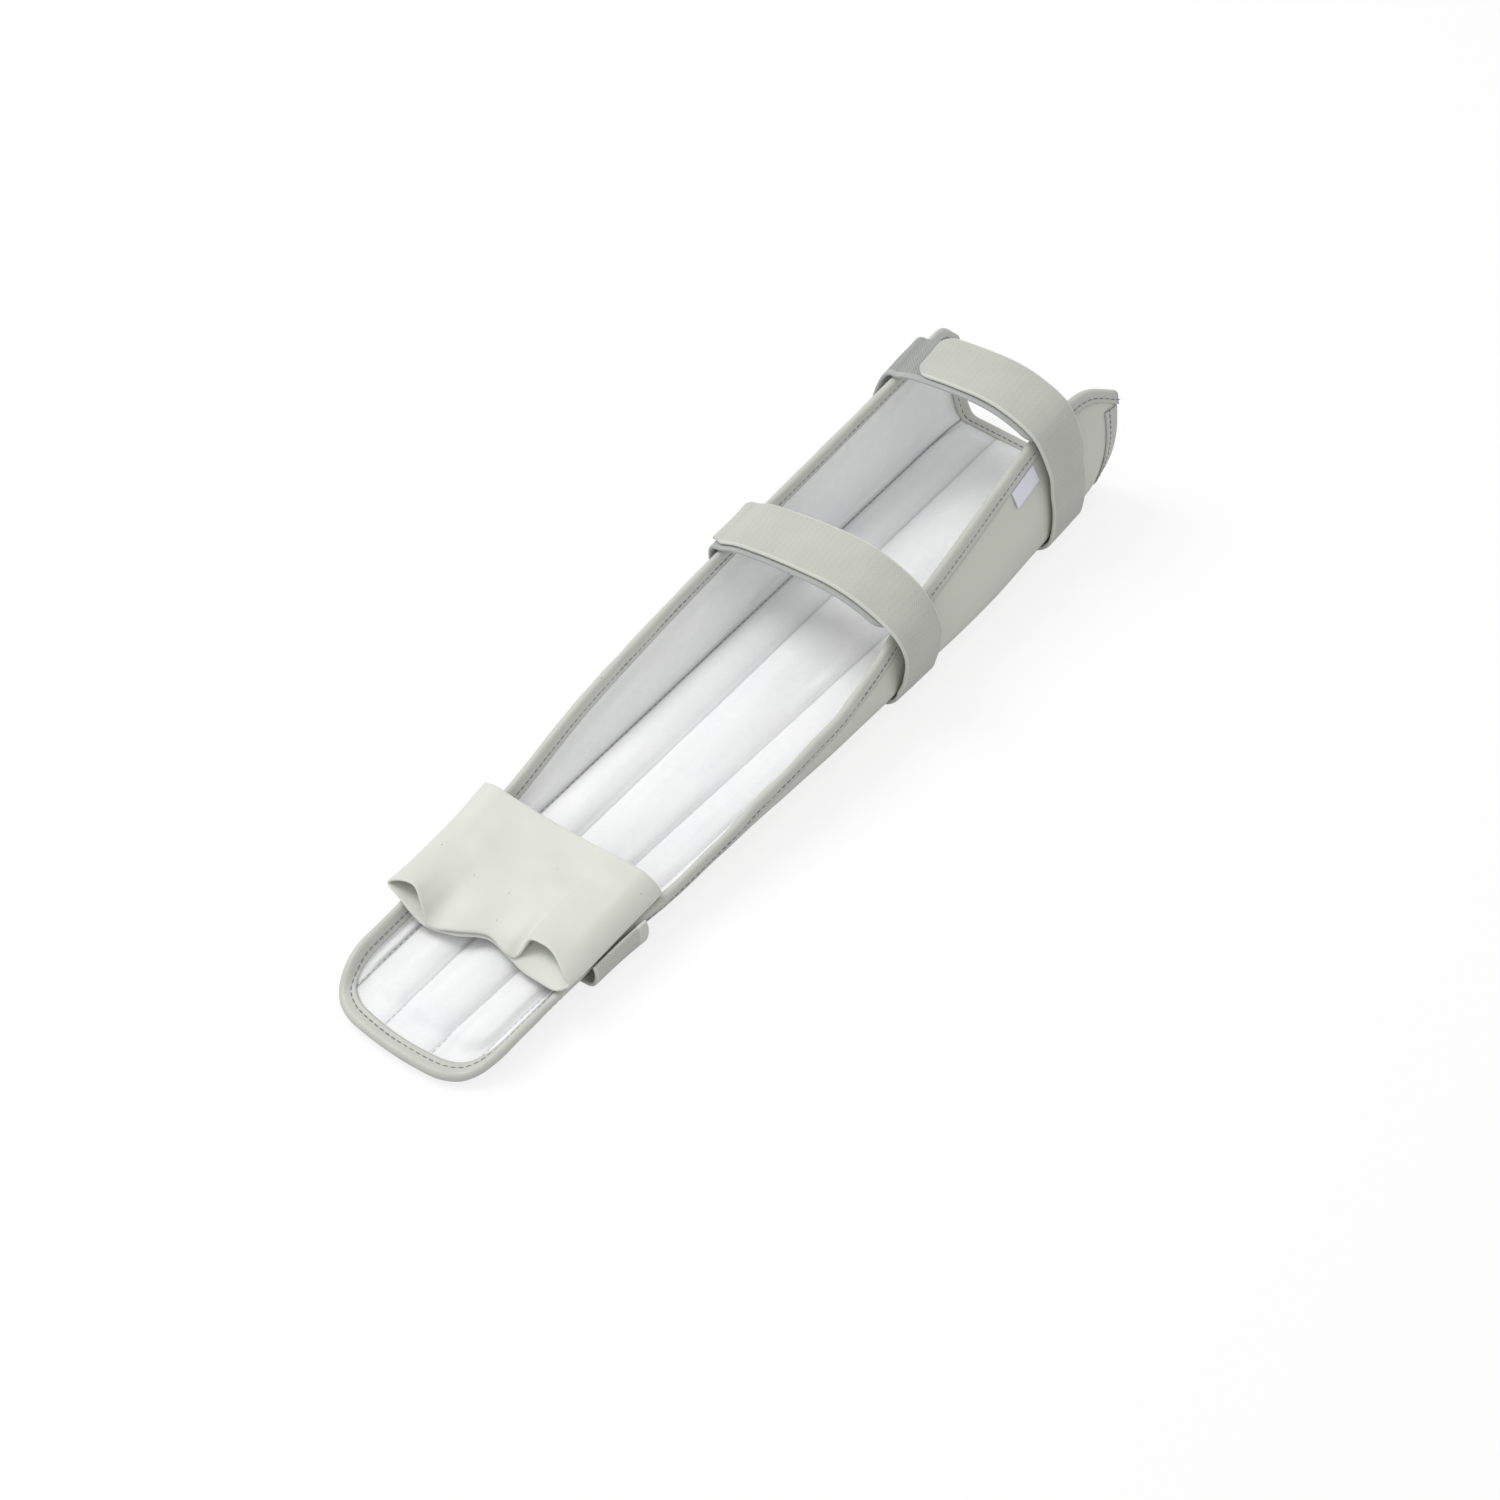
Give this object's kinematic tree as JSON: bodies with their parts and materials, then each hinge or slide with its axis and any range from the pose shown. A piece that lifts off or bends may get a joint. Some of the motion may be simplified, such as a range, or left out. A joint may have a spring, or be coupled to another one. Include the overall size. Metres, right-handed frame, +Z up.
{
  "type": "intravenous arm board",
  "caption": "Padded cloth trough that holds a forearm still for an intravenous line, with lap-over straps and a soft wrist flap.",
  "frame": {"origin": "middle of the footprint, on the surface the board lies on", "axes": "+X from the hand end to the elbow end, +Y to the left wall seen from the elbow, +Z up"},
  "size_m": [0.418, 0.1034, 0.0748],
  "materials": {
    "coated_cloth": "smooth",
    "brushed_lining": "soft, brushed",
    "hook_webbing": "ribbed",
    "loop_webbing": "woven",
    "label_cloth": "satin"
  },
  "bodies": {
    "root": {"outer_shell": "coated_cloth", "lining_pad": "brushed_lining", "rim_binding": "coated_cloth", "end_binding": "coated_cloth", "forearm_hook_strap": "hook_webbing", "forearm_loop_strap": "loop_webbing", "elbow_hook_strap": "hook_webbing", "elbow_loop_strap": "loop_webbing", "wrist_flap": "coated_cloth", "wrist_tab": "loop_webbing", "label": "label_cloth"}
  },
  "joints": []
}
